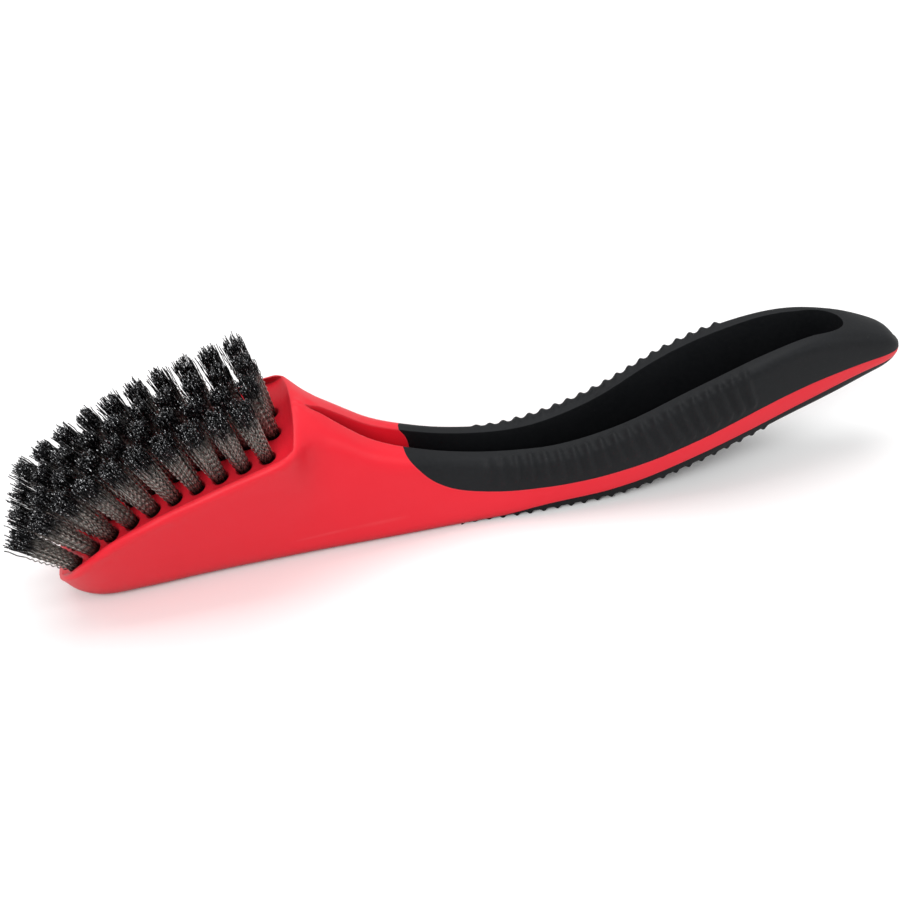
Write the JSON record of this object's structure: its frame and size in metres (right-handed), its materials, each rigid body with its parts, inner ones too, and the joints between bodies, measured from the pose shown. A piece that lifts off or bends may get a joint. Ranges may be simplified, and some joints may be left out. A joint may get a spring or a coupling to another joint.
{
  "type": "club groove brush",
  "caption": "Hand brush for club grooves: curved red handle core with soft black grip and a wedge head carrying rows of flared steel wire tufts.",
  "frame": {"origin": "centre of the flat land under the head and neck, on the plane the brush rests on", "axes": "+X from the head towards the tail of the handle, +Z out of the resting face towards the bristle side, +Y to the left of the handle; the brush is mirror-symmetric about the XZ plane"},
  "size_m": [0.2212, 0.0382, 0.0536],
  "materials": {
    "red_plastic": "semi-gloss injection moulded polypropylene",
    "black_rubber": "matte thermoplastic elastomer overmould",
    "tuft_wire": "dark tempered steel wire, crimped, cut ends bright",
    "anchor_steel": "plain steel strip"
  },
  "bodies": {
    "root": {"handle_core": "red_plastic", "grip_upper": "black_rubber", "grip_underside": "black_rubber", "tuft_r1_c01": "tuft_wire", "tuft_r1_c02": "tuft_wire", "tuft_r1_c03": "tuft_wire", "tuft_r1_c04": "tuft_wire", "tuft_r1_c05": "tuft_wire", "tuft_r1_c06": "tuft_wire", "tuft_r1_c07": "tuft_wire", "tuft_r1_c08": "tuft_wire", "tuft_r1_c09": "tuft_wire", "tuft_r1_c10": "tuft_wire", "tuft_r2_c01": "tuft_wire", "tuft_r2_c02": "tuft_wire", "tuft_r2_c03": "tuft_wire", "tuft_r2_c04": "tuft_wire", "tuft_r2_c05": "tuft_wire", "tuft_r2_c06": "tuft_wire", "tuft_r2_c07": "tuft_wire", "tuft_r2_c08": "tuft_wire", "tuft_r2_c09": "tuft_wire", "tuft_r2_c10": "tuft_wire", "tuft_r3_c01": "tuft_wire", "tuft_r3_c02": "tuft_wire", "tuft_r3_c03": "tuft_wire", "tuft_r3_c04": "tuft_wire", "tuft_r3_c05": "tuft_wire", "tuft_r3_c06": "tuft_wire", "tuft_r3_c07": "tuft_wire", "tuft_r3_c08": "tuft_wire", "tuft_r3_c09": "tuft_wire", "tuft_r3_c10": "tuft_wire", "tuft_r4_c01": "tuft_wire", "tuft_r4_c02": "tuft_wire", "tuft_r4_c03": "tuft_wire", "tuft_r4_c04": "tuft_wire", "tuft_r4_c05": "tuft_wire", "tuft_r4_c06": "tuft_wire", "tuft_r4_c07": "tuft_wire", "tuft_r4_c08": "tuft_wire", "tuft_r4_c09": "tuft_wire", "tuft_r4_c10": "tuft_wire", "tuft_anchors": "anchor_steel"}
  },
  "joints": []
}
